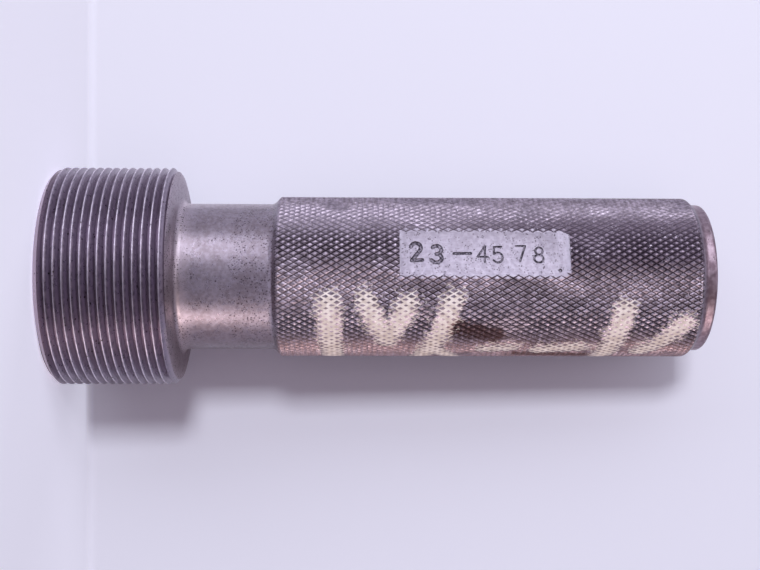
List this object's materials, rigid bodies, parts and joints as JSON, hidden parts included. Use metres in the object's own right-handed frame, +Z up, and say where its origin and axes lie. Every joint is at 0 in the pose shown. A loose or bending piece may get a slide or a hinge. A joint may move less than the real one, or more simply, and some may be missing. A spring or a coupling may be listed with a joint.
{
  "type": "thread plug gauge",
  "caption": "Plug gauge turned from one steel bar: a threaded gauging head on a plain neck, with a round knurled handle that has a milled marking flat and a short end boss.",
  "frame": {"origin": "centre of the gauging head's end face, which the gauge stands on", "axes": "+Z up the gauge's axis from the head to the handle; the marking flat faces -Y; +X completes the frame"},
  "size_m": [0.0428, 0.0428, 0.127],
  "materials": {
    "steel": "dull grey steel, pitted and grimy with handling, bright on the thread's crests, with worn cream paint marks on the knurl"
  },
  "bodies": {
    "root": {"plug_gauge": "steel"}
  },
  "joints": []
}
